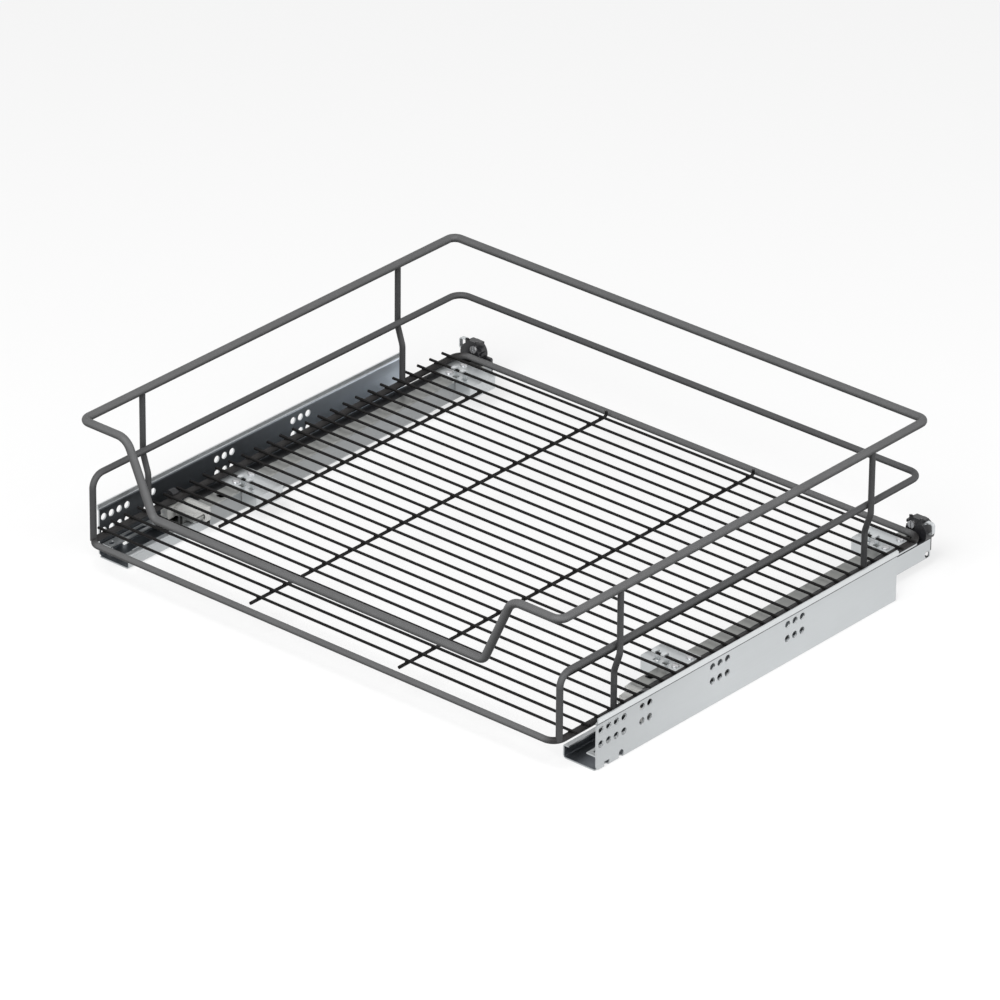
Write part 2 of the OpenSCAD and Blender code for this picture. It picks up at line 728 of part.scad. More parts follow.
// Drawer profile: a sheet folded into an upside-down channel with turned-in lips
module drawer_profile(side) {
    half = drawer_sheet / 2;
    color(zinc_dark) on_side(side) difference() {
        run_y(drawer_setback, drawer_back) strip([
            [drawer_lip_in, drawer_bottom_z + half],
            [drawer_in_x + half, drawer_bottom_z + half],
            [drawer_in_x + half, drawer_top_z - half],
            [drawer_out_x - half, drawer_top_z - half],
            [drawer_out_x - half, drawer_bottom_z + half],
            [drawer_lip_out, drawer_bottom_z + half]
        ], drawer_sheet, 1.6);
        run_z(drawer_top_z - 3, drawer_top_z + 1) {
            for (y = [drawer_setback + 20, drawer_back - 40]) {
                round_rect([drawer_in_x + 3, y - 3], [drawer_in_x + 11, y + 3], 2.9);
            }
        }
        bore_x(drawer_out_x - 3, drawer_out_x + 1, tail_hole_y, tail_hole_z, tail_hole);
        corner_cut_x(drawer_in_x - 1, drawer_out_x + 1, drawer_back, drawer_bottom_z, 3, -1, 1);
        for (y = front_rivet_ys) bore_z(rivet_x, y, drawer_top_z - 3, drawer_top_z + 1, rivet_shank);
        for (y = rear_bracket_rivet_ys) {
            bore_z(rivet_x, y, drawer_top_z - 3, drawer_top_z + 1, rivet_shank);
        }
    }
}

// Brackets: plates on the drawer profile, with lanced hooks that grip one cross wire
rivet_shank = rivet_head / 2;
bracket_lead = 4.4;
front_bracket_y = [front_hook_wire - bracket_lead, front_hook_wire - bracket_lead + bracket_length];
rear_bracket_y = [rear_hook_wire - bracket_lead, rear_hook_wire - bracket_lead + bracket_length];
front_rivet_ys = [front_bracket_y[0] + 7, front_bracket_y[1] - 7];
rear_bracket_rivet_ys = [rear_bracket_y[0] + 7, rear_bracket_y[1] - 7];

// The leg stands behind the wire, and the hook comes forwards over it
hook_foot = 5;
module bracket_hook(wire_y, x) {
    half = bracket_sheet / 2;
    leg_y = wire_y + cross_wire / 2 + half + weld_gap;
    top_z = cross_z + cross_wire / 2 + half + weld_gap;
    run_x(x, x + hook_w) strip([
        [leg_y + hook_foot, drawer_top_z + half],
        [leg_y, drawer_top_z + half],
        [leg_y, top_z],
        [leg_y - cross_wire - 2 * bracket_sheet, top_z]
    ], bracket_sheet, 1);
}

module bracket_body(y, wire_y, rivet_ys) {
    z = [drawer_top_z, drawer_top_z + bracket_sheet];
    slot_y = [wire_y - cross_wire / 2, wire_y + cross_wire / 2 + bracket_sheet + 1];
    difference() {
        union() {
            run_z(z[0], z[1]) round_rect([bracket_x[0], y[0]], [bracket_x[1], y[1]], 4);
            // turned-down inner edge and front edge, with a round corner between them
            run_z(z[1] - bracket_skirt, z[1] - eps) difference() {
                round_rect([bracket_x[0], y[0]], [bracket_x[1], y[1]], 4);
                round_rect([bracket_x[0] + bracket_sheet, y[0] + bracket_sheet],
                    [bracket_x[1] + 10, y[1] + 10], 3);
                translate([drawer_in_x - 1, y[0] - 1]) square([60, y[1] - y[0] + 2]);
                translate([bracket_x[0] - 1, y[1] - 4]) square([60, 8]);
            }
        }
        // lanced openings that the hooks came out of
        for (x = hook_xs) {
            block([x - 0.6, x + hook_w + 0.6], slot_y, [0, 2 * drawer_top_z]);
        }
        for (p = rivet_ys) bore_z(rivet_x, p, z[0] - 1, z[1] + 1, rivet_shank);
    }
    for (x = hook_xs) bracket_hook(wire_y, x);
}

module front_bracket(side) {
    color(zinc) on_side(side) bracket_body(front_bracket_y, front_hook_wire, front_rivet_ys);
}

module rear_bracket(side) {
    color(zinc) on_side(side) bracket_body(rear_bracket_y, rear_hook_wire, rear_bracket_rivet_ys);
}

module bracket_rivets() {
    z = drawer_top_z + bracket_sheet;
    color(steel) for (side = ["left", "right"]) on_side(side) {
        for (y = concat(front_rivet_ys, rear_bracket_rivet_ys)) {
            bore_z(rivet_x, y, drawer_top_z - drawer_sheet, z, rivet_shank);
            bore_z(rivet_x, y, z, z + 1, rivet_head);
        }
    }
}

// Lock body: a moulding in the drawer profile's front end that carries the release lever
module lock_body(side) {
    x = [drawer_in_x + 0.5, drawer_out_x - 0.5];
    floor_z = over_rail_z;
    color(nylon) on_side(side) difference() {
        union() {
            // plug in the profile's end
            run_y(drawer_setback - eps, drawer_setback + 14) {
                round_rect([plug_x[0], plug_z[0]], [plug_x[1], plug_z[1]], 1.5);
            }
            // collar in front of the sheet's edge
            run_y(lock_y[1], drawer_setback) {
                round_rect([x[0], floor_z], [x[1], drawer_top_z - 0.4], 1.5);
            }
            // fork that carries the lever
            run_x(pivot_x - 4.5, fork_out_x) polygon([
                [lock_y[0], floor_z], [lock_y[1] + eps, floor_z], [lock_y[1] + eps, drawer_top_z - 2.5],
                [lock_y[0] + 2, drawer_top_z - 2.5], [lock_y[0], drawer_top_z - 5]
            ]);
            run_x(x[0] + 4, pivot_x - 4.5 + eps) polygon([
                [lock_y[0] + 8, drawer_top_z - 7], [lock_y[1] + eps, floor_z + 1],
                [lock_y[1] + eps, drawer_top_z - 2.5], [lock_y[0] + 8, drawer_top_z - 4]
            ]);
        }
        // way for the middle profile
        run_y(middle_setback - seat_gap, drawer_setback + 20) {
            translate([head_mid_x - head_w / 2 - 0.5, head_z - 0.6]) {
                square([head_w + 1, head_t + 1.2]);
            }
            translate([web_x - web_w / 2 - 0.8, 0]) square([web_w + 1.6, head_z]);
        }
        // room for the lever and its swing
        block([pivot_x - lever_eye / 2 - seat_gap, fork_out_x + 5],
            [lever_y[0] - seat_gap, lever_y[1] + seat_gap],
            [pivot_z - lever_eye / 2 - seat_gap, drawer_top_z + 1]);
        translate([0, lock_y[1] + 1, 0]) rotate([90, 0, 0]) translate([pivot_x, pivot_z, 0]) {
            cylinder(h = lock_y[1] - lock_y[0] + 2, d = pivot_pin);
        }
    }
}

module lever_pins() {
    color(steel) for (side = ["left", "right"]) on_side(side) {
        translate([pivot_x, lock_y[1], pivot_z]) rotate([90, 0, 0]) {
            cylinder(h = lock_y[1] - lock_y[0], d = pivot_pin);
        }
    }
}

// Release lever: a nose lies over the base frame's side wire, and swings outwards to free it
module release_lever(side) {
    nose_z = base_z + base_wire / 2 + seat_gap;
    top_z = nose_z + 3.2;
    color(black_plastic) on_side(side) difference() {
        union() {
            run_y(lever_y[0], lever_y[1]) {
                translate([pivot_x, pivot_z]) circle(d = lever_eye);
                translate([lever_in_x, pivot_z]) square([lever_t, drawer_top_z - 1 - pivot_z]);
            }
            run_y(nose_y[0], nose_y[1]) polygon([
                [lever_in_x, drawer_top_z - 2], [lever_in_x + lever_t, drawer_top_z - 2],
                [lever_in_x + lever_t, top_z - 1], [lever_in_x + lever_t - 1, top_z],
                [lever_in_x, top_z], [base_x + 0.4, nose_z + 1.2], [base_x + 0.4, nose_z],
                [lever_in_x, nose_z]
            ]);
        }
        translate([pivot_x, lever_y[1] + 1, pivot_z]) rotate([90, 0, 0]) {
            cylinder(h = lever_y[1] - lever_y[0] + 2, r = pivot_pin / 2 + pivot_clearance);
        }
    }
}

// Rear clip: a moulding plugged into the drawer profile's rear end, with a dome behind the back wire.
// The middle profile passes through its plug when the drawer is open.
module rear_clip(side) {
    top = base_z + base_wire / 2 + clip_rise;
    dome_z = top - dome_r;
    seat_z = drawer_top_z + weld_gap;
    color(black_plastic) on_side(side) difference() {
        union() {
            run_y(clip_plug_front, drawer_back + eps) {
                round_rect([plug_x[0], plug_z[0]], [plug_x[1], plug_z[1]], 1.5);
            }
            // end cap behind the profile
            run_y(drawer_back + weld_gap, clip_back - 1) {
                round_rect([drawer_in_x + 1, over_rail_z], [drawer_out_x - 1, drawer_top_z + 3], 1.5);
            }
            // dome
            run_y(clip_front, clip_back) intersection() {
                translate([clip_mid_x, dome_z]) circle(dome_r);
                translate([0, seat_z]) square([rim_x, dome_r + dome_z]);
            }
            // crest over the dome
            run_x(clip_mid_x - 8, clip_mid_x + 5) polygon([
                [clip_front, top + 2.6], [clip_front, top - 3], [clip_back - 1, top - 3],
                [clip_back - 1, top + 0.4], [clip_front + 2, top + 1.2]
            ]);
            for (x = [clip_mid_x - 8, clip_mid_x + 3.5]) {
                run_x(x, x + 1.5) polygon([
                    [clip_front, top], [clip_front, top + 4], [clip_front + 3, top + 3], [clip_front + 5, top]
                ]);
            }
            // two teeth at the inner side
            for (z = [seat_z + 6, seat_z + 10.5]) {
                block([clip_mid_x - dome_r - 1.5, clip_mid_x - dome_r + 6],
                    [clip_front + 2, clip_back - 4], [z, z + 2.6]);
            }
        }
        // way for the middle profile's head and web
        run_y(clip_plug_front - 1, clip_back) {
            translate([head_mid_x - head_w / 2 - 0.6, head_z - 0.6]) square([head_w + 1.2, head_t + 1.2]);
            translate([web_x - web_w / 2 - 0.8, 0]) square([web_w + 1.6, head_z]);
        }
        clip_screw_bore();
        strap_band();
    }
}

module clip_screw_bore() {
    translate([clip_screw_x, clip_front + clip_screw_length, base_z + base_wire / 2 + 4]) rotate([90, 0, 0]) {
        cylinder(h = clip_screw_length + eps, d = clip_screw_d);
    }
}

module clip_screws() {
    z = base_z + base_wire / 2 + 4;
    color(steel) for (side = ["left", "right"]) on_side(side) {
        translate([clip_screw_x, clip_front + clip_screw_length, z]) rotate([90, 0, 0]) {
            cylinder(h = clip_screw_length, d = clip_screw_d);
        }
        difference() {
            translate([clip_screw_x, clip_front, z]) rotate([90, 0, 0]) {
                cylinder(h = 1.6, d = 2 * clip_screw_d);
            }
            block([clip_screw_x - 0.5, clip_screw_x + 0.5], [clip_front - 2, clip_front - 0.8],
                [z - 5, z + 5]);
        }
    }
}

// Strap: a band of sheet that stands in the clip and loops over to its outer side
module strap_band() {
    foot_z = drawer_top_z + 3;
    top_z = base_z + base_wire / 2 + clip_rise;
    run_y(clip_front + 3, clip_front + 7) strip([
        [clip_mid_x + 6.5, foot_z],
        [clip_mid_x + 6.5, top_z],
        [clip_mid_x + 14.5, top_z],
        [clip_mid_x + 14.5, foot_z + 3],
        [clip_mid_x + 10, foot_z + 3]
    ], 1, 2);
}

module clip_strap(side) {
    color(zinc) on_side(side) strap_band();
}

top_rim();
middle_rail();
base_frame();
side_posts();
floor_cross_wires();
floor_long_wires();
drawer_profile("left");  // left_drawer_profile
drawer_profile("right");  // right_drawer_profile
front_bracket("left");  // left_front_bracket
front_bracket("right");  // right_front_bracket
rear_bracket("left");  // left_rear_bracket
rear_bracket("right");  // right_rear_bracket
bracket_rivets();
lock_body("left");  // left_lock_body
lock_body("right");  // right_lock_body
lever_pins();
release_lever("left");  // left_release_lever
release_lever("right");  // right_release_lever
rear_clip("left");  // left_rear_clip
rear_clip("right");  // right_rear_clip
clip_strap("left");  // left_clip_strap
clip_strap("right");  // right_clip_strap
clip_screws();
middle_profile("left");  // left_middle_profile
middle_profile("right");  // right_middle_profile
upper_cage("left");  // left_upper_cage
upper_cage("right");  // right_upper_cage
upper_rollers("left");  // left_upper_rollers
upper_rollers("right");  // right_upper_rollers
lower_cage("left");  // left_lower_cage
lower_cage("right");  // right_lower_cage
lower_rollers("left");  // left_lower_rollers
lower_rollers("right");  // right_lower_rollers
cabinet_profile("left");  // left_cabinet_profile
cabinet_profile("right");  // right_cabinet_profile
wall_raceway("left");  // left_wall_raceway
wall_raceway("right");  // right_wall_raceway
rear_stop("left");  // left_rear_stop
rear_stop("right");  // right_rear_stop
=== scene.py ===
"""Pull-out basket drawer: finishes, weld beads, rivet domes, a plain studio and the camera."""

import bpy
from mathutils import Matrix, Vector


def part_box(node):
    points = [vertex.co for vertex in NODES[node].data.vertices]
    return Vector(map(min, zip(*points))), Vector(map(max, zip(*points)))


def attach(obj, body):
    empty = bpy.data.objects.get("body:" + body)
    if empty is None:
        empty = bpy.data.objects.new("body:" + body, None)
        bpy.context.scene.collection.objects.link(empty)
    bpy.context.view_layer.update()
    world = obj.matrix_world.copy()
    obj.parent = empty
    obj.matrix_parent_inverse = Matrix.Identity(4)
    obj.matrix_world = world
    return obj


bl_info = {
    "name": "Pull-out basket drawer",
    "version": (1, 0, 0),
    "blender": (4, 5, 0),
    "location": "View3D > Sidebar > Basket",
    "description": "Dresses the packed basket drawer and sets up a plain studio",
    "category": "Object",
}

import bmesh
import bpy
from mathutils import Matrix, Vector

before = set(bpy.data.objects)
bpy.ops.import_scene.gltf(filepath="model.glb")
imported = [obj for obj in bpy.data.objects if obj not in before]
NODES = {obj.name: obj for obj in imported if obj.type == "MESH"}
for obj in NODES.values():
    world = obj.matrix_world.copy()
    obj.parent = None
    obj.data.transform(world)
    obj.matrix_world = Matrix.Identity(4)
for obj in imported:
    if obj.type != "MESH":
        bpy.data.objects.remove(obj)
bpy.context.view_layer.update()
SIDES = ("left", "right")

RAIL_WIRES = ("middle_rail", "side_posts")
FLOOR_WIRES = ("floor_cross_wires", "floor_long_wires")
PLATES = ("cabinet_profile", "wall_raceway")
FITTINGS = ("front_bracket", "rear_bracket", "clip_strap")
MOULDINGS = ("rear_stop", "lower_cage", "upper_cage", "release_lever", "rear_clip")
PALE_MOULDINGS = ("lower_rollers", "upper_rollers", "lock_body")
SMALL_STEEL = ("bracket_rivets", "lever_pins", "clip_screws")

# Places on the right-hand runner and the basket, in metres. The finishes mirror them to the left.
RUNNER_LOW, RUNNER_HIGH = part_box("right_cabinet_profile")
PLATE_SHEET = (RUNNER_HIGH.x - 0.0055, RUNNER_HIGH.x - 0.0019)
PLATE_FACE = RUNNER_HIGH.x - 0.003
STRIP_FACE = RUNNER_HIGH.x - 0.0008
# Height span under the strip's step where the painted shadow lies
STRIP_FOLD = (RUNNER_HIGH.z - 0.0067, RUNNER_HIGH.z - 0.0053)
# Length from the front over which the plates' painted shade fades out
PAINTED_FRONT_SHADE_LENGTH = 0.155
# Span of the rail's hollow that takes painted shade
RAIL_HOLLOW_X = (RUNNER_LOW.x + 0.0012, RUNNER_HIGH.x - 0.0027)
RAIL_HOLLOW_Z = (RUNNER_LOW.z + 0.0012, RUNNER_LOW.z + 0.0117)
# From this X outwards the sliders' top carries a painted shadow under the frame
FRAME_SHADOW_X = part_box("right_drawer_profile")[1].x - 0.011
# Across this span of X the painted shade on the base frame's side runs fades in
SIDE_RUN_SHADE_X = (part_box("base_frame")[1].x - 0.01475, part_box("base_frame")[1].x - 0.00625)

# Scales of the noise in the finishes, in waves to the metre
COAT_TONE = 34
COAT_PEEL = 1400
ROLLED_LINES = 900
ZINC_CLOUD = 26
FRAME_SHADOW_EDGE = 90
MOULD_SPARK = 2200
MOULD_TONE = 60
TURNED_STEEL = 700

# How much of its normal a face has along X or Z where it counts as a side or a top
SIDEWAYS = 0.5
UPWARDS = 0.5
# The upward part of the normal at which the painted shade on a wire's underside starts, and where it is full
PAINTED_UNDERSIDE_SHADE = (0.35, -0.4)
WHITE = (1, 1, 1, 1)

# The studio, in metres. The floor lies a hair under the part, so that the two don't flicker.
FLOOR_SIZE = 40
FLOOR_DROP = 0.0004
KEY_PLACE = (0.6, -2.4, 2.9)
KEY_SIZE = 2.2
FILL_PLACE = (3.0, 0.4, 1.9)
FILL_SIZE = 2.6

# The photograph's camera, in the part's frame
CAMERA_PLACE = Vector((4.073694, -4.750946, 3.361365))
CAMERA_RIGHT = Vector((0.75532838, 0.65529231, 0.0084279))
CAMERA_UP = Vector((-0.31072971, 0.34678334, 0.8849793))
CAMERA_LENS = 298.367
SENSOR = 36.0
CLIP = (0.1, 100)


def colour_prop(name, description, default):
    return bpy.props.FloatVectorProperty(
        name=name, description=description, default=default, size=3, min=0, max=1, subtype="COLOR"
    )


def factor_prop(name, description, default):
    return bpy.props.FloatProperty(
        name=name, description=description, default=default, min=0, max=1, subtype="FACTOR"
    )


def length_prop(name, description, default):
    return bpy.props.FloatProperty(
        name=name, description=description, default=default, min=0, unit="LENGTH", subtype="DISTANCE"
    )


def power_prop(name, description, default):
    return bpy.props.FloatProperty(name=name, description=description, default=default, min=0, unit="POWER")


class BasketCoat(bpy.types.PropertyGroup):
    wire: colour_prop("Rim wire", "Colour of the coat on the rim and base frame", (0.105, 0.1055, 0.107))
    rail_wire: colour_prop("Rail wire", "Colour of the coat on the rail and posts", (0.074, 0.0745, 0.076))
    # Painted shade: the floor wires carry the rim's coat, set here to a darker colour as painted shade
    floor_wire_painted_shade: colour_prop("Floor wire", "Colour of the coat on the floor", (0.011, 0.0105, 0.0105))
    wire_rough: factor_prop("Wire roughness", "Roughness of the coat", 0.46)
    wire_shine: factor_prop("Wire shine", "Specular level of the coat on the thick wires", 0.1)
    floor_shine: factor_prop("Floor shine", "Specular level of the coat on the floor wires", 0.07)
    peel: length_prop("Peel", "Height of the coat's fine unevenness", 0.00003)


class RunnerFinish(bpy.types.PropertyGroup):
    zinc: colour_prop("Zinc", "Colour of the zinc-plated sheet", (0.535, 0.555, 0.565))
    # Colour of the painted shade on the plates' inner sides
    zinc_painted_shade: colour_prop("Painted inner shade", "Colour of the plates' inner sides", (0.055, 0.06, 0.066))
    strip: colour_prop("Strip", "Palest colour of the strip along the plates' top", (0.72, 0.735, 0.74))
    slider: colour_prop("Slider", "Colour of the sliding profiles", (0.33, 0.335, 0.325))
    # Colour of the painted shadow on the sliders' top under the frame
    track: colour_prop("Frame shadow", "Colour of the sliding profiles under the frame", (0.03, 0.031, 0.033))
    steel: colour_prop("Steel", "Colour of rivets, pins and screws", (0.52, 0.52, 0.53))
    zinc_rough: factor_prop("Zinc roughness", "Roughness of the zinc", 0.36)
    line_height: length_prop("Line height", "Height of the rolling lines", 0.000006)


class MouldedFinish(bpy.types.PropertyGroup):
    black: colour_prop("Black", "Colour of the mouldings", (0.012, 0.012, 0.014))
    black_rough: factor_prop("Black roughness", "Roughness of the mouldings", 0.4)
    pale: colour_prop("Pale", "Colour of the rollers and lock bodies", (0.5, 0.5, 0.485))
    pale_rough: factor_prop("Pale roughness", "Roughness of the rollers and lock bodies", 0.35)
    spark: length_prop("Spark", "Height of the mouldings' spark-eroded texture", 0.00002)


class JoinSizes(bpy.types.PropertyGroup):
    bead_across: length_prop("Bead across", "Half width of a weld bead across the wire it sits on", 0.0016)
    bead_along: length_prop("Bead along", "Half length of a weld bead along the wire it sits on", 0.0021)
    bead_high: length_prop("Bead height", "Half height of a weld bead", 0.0007)
    dome: length_prop("Rivet dome", "Height of the dome on a rivet's head", 0.0007)
    dome_sink: length_prop("Dome sink", "How far a dome's edge lies below the head's top", 0.0001)
    dome_share: factor_prop("Dome share", "Width of a dome as a share of the rivet's head", 0.98)


class Studio(bpy.types.PropertyGroup):
    floor: colour_prop("Floor", "Colour of the floor", (0.92, 0.92, 0.92))
    floor_white: factor_prop("Floor white", "Share of plain white in the floor that the camera sees", 0.72)
    ambient: factor_prop("Ambient", "Strength of the world on the object", 0.13)
    key: power_prop("Key", "Power of the key light", 168.0)
    fill: power_prop("Fill", "Power of the fill light", 68.0)


class Value:
    """A socket that takes part in Python arithmetic by adding Math nodes."""

    def __init__(self, nodes, socket):
        self.nodes, self.socket = nodes, socket

    def maths(self, operation, first, second):
        return self.nodes.add("ShaderNodeMath", {"operation": operation}, {0: first, 1: second})

    def __add__(self, other):
        return self.maths("ADD", self, other)

    def __radd__(self, other):
        return self.maths("ADD", other, self)

    def __mul__(self, other):
        return self.maths("MULTIPLY", self, other)

    def __rmul__(self, other):
        return self.maths("MULTIPLY", other, self)

    def __gt__(self, other):
        return self.maths("GREATER_THAN", self, other)

    def __lt__(self, other):
        return self.maths("LESS_THAN", self, other)

    def __abs__(self):
        return self.maths("ABSOLUTE", self, 0)

    def or_more(self, other):
        return self.maths("MAXIMUM", self, other)

    def between(self, limits):
        """1 inside the limits and 0 outside."""
        return (self > limits[0]) * (self < limits[1])


def set_stops(ramp, stops):
    while len(ramp.elements) < len(stops):
        ramp.elements.new(0.5)
    for element, (place, shade) in zip(ramp.elements, stops):
        element.position = place
        element.color = (*shade, 1)


class Nodes:
    """A node tree under construction, with one method that adds any node."""

    def __init__(self, tree):
        self.tree = tree
        self.tree.nodes.clear()

    def add(self, kind, settings=None, inputs=None, out=0):
        """Add a node, make its settings, then fill its sockets with values or links."""
        node = self.tree.nodes.new(kind)
        for key, value in (settings or {}).items():
            if key == "stops":
                set_stops(node.color_ramp, value)
            else:
                setattr(node, key, value)
        for key, value in (inputs or {}).items():
            if isinstance(value, Value):
                self.tree.links.new(value.socket, node.inputs[key])
            else:
                node.inputs[key].default_value = value
        return Value(self, node.outputs[out]) if len(node.outputs) else None


class Finish(Nodes):
    """A material under construction."""

    def __init__(self, name):
        self.material = bpy.data.materials.new(name)
        self.material.use_nodes = True
        super().__init__(self.material.node_tree)

    def ramp(self, factor, stops):
        return self.add("ShaderNodeValToRGB", {"stops": stops}, {0: factor})

    def rise(self, value, start, end):
        """0 at start and 1 at end, which may lie below it."""
        return self.add("ShaderNodeMapRange", inputs={0: value, 1: start, 2: end})

    def mix(self, factor, first, second):
        first, second = (c if isinstance(c, Value) else (*c, 1) for c in (first, second))
        settings = {"data_type": "RGBA", "clamp_factor": True}
        return self.add("ShaderNodeMix", settings, {0: factor, 6: first, 7: second}, 2)

    def spread(self, factor, colour, low, high):
        """One colour, from low to high times its strength."""
        return self.mix(factor, shaded(colour, low), shaded(colour, high))

    def place(self):
        return self.add("ShaderNodeTexCoord", out="Object")

    def normal(self):
        return self.add("ShaderNodeTexCoord", out="Normal")

    def parts(self, vector):
        """The three numbers of a vector."""
        split = self.add("ShaderNodeSeparateXYZ", inputs={0: vector}).socket.node
        return [Value(self, output) for output in split.outputs]

    def noise(self, scale, stretch=(1, 1, 1), detail=3.0, rough=0.5):
        where = self.add("ShaderNodeMapping", inputs={"Vector": self.place(), "Scale": stretch})
        inputs = {"Vector": where, "Scale": scale, "Detail": detail, "Roughness": rough}
        return self.add("ShaderNodeTexNoise", inputs=inputs)

    def bump(self, height, distance):
        return self.add("ShaderNodeBump", inputs={"Height": height, "Distance": distance, "Strength": 1.0})

    def surface(self, colour, rough, metallic=0.0, **fixed):
        inputs = {"Base Color": colour, "Roughness": rough, "Metallic": metallic}
        inputs.update({key.replace("_", " "): value for key, value in fixed.items()})
        self.close(self.add("ShaderNodeBsdfPrincipled", inputs=inputs))
        return self.material

    def close(self, shader):
        self.add("ShaderNodeOutputMaterial", inputs={0: shader})


def shaded(colour, by):
    return tuple(min(1.0, c * by) for c in colour)


def coated_wire(name, base, shine, tint=None):
    """Satin powder coat: fine orange peel, slight changes of tone, and painted shade on the underside."""
    look = bpy.context.scene.basket_coat
    finish = Finish(name)
    tone = finish.noise(COAT_TONE, detail=4)
    grain = finish.noise(COAT_PEEL, detail=2)
    colour = finish.spread(tone * 0.7 + grain * 0.3, base, 0.82, 1.2)
    if tint:
        colour = tint(finish, colour)
    # Painted shade: faces that look downwards get a darker copy of the coat's colour
    up = finish.parts(finish.normal())[2]
    under = finish.rise(up, *PAINTED_UNDERSIDE_SHADE)
    colour = finish.mix(under, colour, shaded(base, 0.3))
    rough = grain * 0.14 + (look.wire_rough - 0.07)
    return finish.surface(colour, rough, Normal=finish.bump(grain, look.peel), Specular_IOR_Level=shine)


def painted_shade_side_runs(finish, shade):
    """Painted shade: the base frame is darker along the runners than across the front and back."""
    x = finish.parts(finish.place())[0]
    side_run_shade = finish.rise(abs(x), *SIDE_RUN_SHADE_X)
    return finish.mix(side_run_shade, shade, shaded(bpy.context.scene.basket_coat.floor_wire_painted_shade, 2.4))


def zinc(name, colour, tint=None):
    """Bright zinc with rolling lines. The function tint(finish, shade, blend) may change it by place."""
    look = bpy.context.scene.runner_finish
    finish = Finish(name)
    lines = finish.noise(ROLLED_LINES, (1, 0.02, 1), detail=2)
    cloud = finish.noise(ZINC_CLOUD, (1, 0.5, 1), detail=5, rough=0.6)
    blend = lines * 0.35 + cloud * 0.65
    shade = finish.spread(blend, colour, 0.92, 1.08)
    if tint:
        shade = tint(finish, shade, blend)
    rough = cloud * 0.12 + lines * 0.06 + (look.zinc_rough - 0.09)
    return finish.surface(shade, rough, metallic=0.82, Normal=finish.bump(lines, look.line_height))


def outward(x, nx):
    """A mask of the faces that look away from the basket."""
    return (x * nx > 0) * (abs(nx) > SIDEWAYS)


def inward(x, nx):
    """A mask of the faces that look towards the basket."""
    return (x * nx < 0) * (abs(nx) > SIDEWAYS)


def plate_by_place(finish, shade, blend):
    """Painted shade towards the front, on the inner sides (lightening towards the back) and in the rail's
    hollow, and a painted shadow in the strip's fold.
    """
    look = bpy.context.scene.runner_finish
    painted_inner_shade = tuple(look.zinc_painted_shade)
    x, y, z = finish.parts(finish.place())
    nx = finish.parts(finish.normal())[0]
    # Painted shade: the plate darkens towards its front end
    painted_front_shade = finish.rise(y, RUNNER_LOW.y + PAINTED_FRONT_SHADE_LENGTH, RUNNER_LOW.y)
    shade = finish.mix(painted_front_shade, shade, finish.spread(blend, look.zinc, 0.78, 0.9))
    # Painted shade on the plates' inner sides, lighter towards the back
    along = finish.rise(y, RUNNER_LOW.y, RUNNER_HIGH.y)
    stops = [(at, shaded(painted_inner_shade, by)) for at, by in ((0.0, 0.8), (0.45, 2.3), (0.74, 7.0), (1.0, 14.0))]
    inner = finish.mix(blend * 0.2, finish.ramp(along, stops), shaded(painted_inner_shade, 3.0))
    shade = finish.mix(inward(x, nx) * abs(x).between(PLATE_SHEET), shade, inner)
    # Painted shadow: a dark line on the plate's outer face under the strip's step
    painted_fold_shadow = outward(x, nx) * (abs(x) > PLATE_FACE) * z.between(STRIP_FOLD)
    shade = finish.mix(painted_fold_shadow, shade, shaded(look.zinc, 0.3))
    strip = finish.mix(blend, shaded(look.zinc, 1.1), tuple(look.strip))
    shade = finish.mix(abs(x) > STRIP_FACE, shade, strip)
    # Painted shade in the rail's hollow
    painted_hollow_shade = abs(x).between(RAIL_HOLLOW_X) * z.between(RAIL_HOLLOW_Z)
    return finish.mix(painted_hollow_shade, shade, finish.spread(blend, painted_inner_shade, 1.4, 3.4))


def slider_painted_shade(finish, shade, blend):
    """Painted shade: the slider's top and inner side are darker than its outer one, and a painted shadow
    lies on its top under the frame.
    """
    look = bpy.context.scene.runner_finish
    x = finish.parts(finish.place())[0]
    nx, ny, nz = finish.parts(finish.normal())
    # Painted shadow on the slider's top under the base frame, with a ragged edge
    edge = finish.noise(FRAME_SHADOW_EDGE, (1, 0.25, 1), detail=2) * 0.004
    painted_frame_shadow = abs(x) + edge > FRAME_SHADOW_X
    top = finish.mix(painted_frame_shadow, finish.spread(blend, look.slider, 0.88, 1.1), tuple(look.track))
    # Painted shade on the side that faces the basket
    side = finish.mix(inward(x, nx), shade, finish.spread(blend, look.zinc, 0.5, 0.66))
    return finish.mix(nz > UPWARDS, side, top)


def moulded(name, colour, rough, fleck):
    """Injection-moulded plastic with a fine spark-eroded texture."""
    finish = Finish(name)
    grain = finish.noise(MOULD_SPARK, detail=2)
    tone = finish.noise(MOULD_TONE, detail=3)
    shade = finish.spread(grain * 0.5 + tone * 0.5, colour, 1 - fleck, 1 + fleck)
    spark = bpy.context.scene.moulded_finish.spark
    return finish.surface(shade, grain * 0.2 + (rough - 0.1), Normal=finish.bump(grain, spark))


def small_steel(colour):
    """Turned and headed small parts."""
    finish = Finish("small_steel")
    grain = finish.noise(TURNED_STEEL, detail=3)
    return finish.surface(finish.spread(grain, colour, 0.85, 1.12), grain * 0.15 + 0.25, metallic=0.9)


def finish_nodes(names, material):
    for name in names:
        mesh = NODES[name].data
        mesh.materials.clear()
        mesh.materials.append(material)


def both(names):
    return [f"{side}_{name}" for side in SIDES for name in names]


def merged(node):
    """A copy of a node's mesh with its loose triangles joined."""
    bm = bmesh.new()
    bm.from_mesh(NODES[node].data)
    bmesh.ops.remove_doubles(bm, verts=bm.verts, dist=1e-6)
    return bm


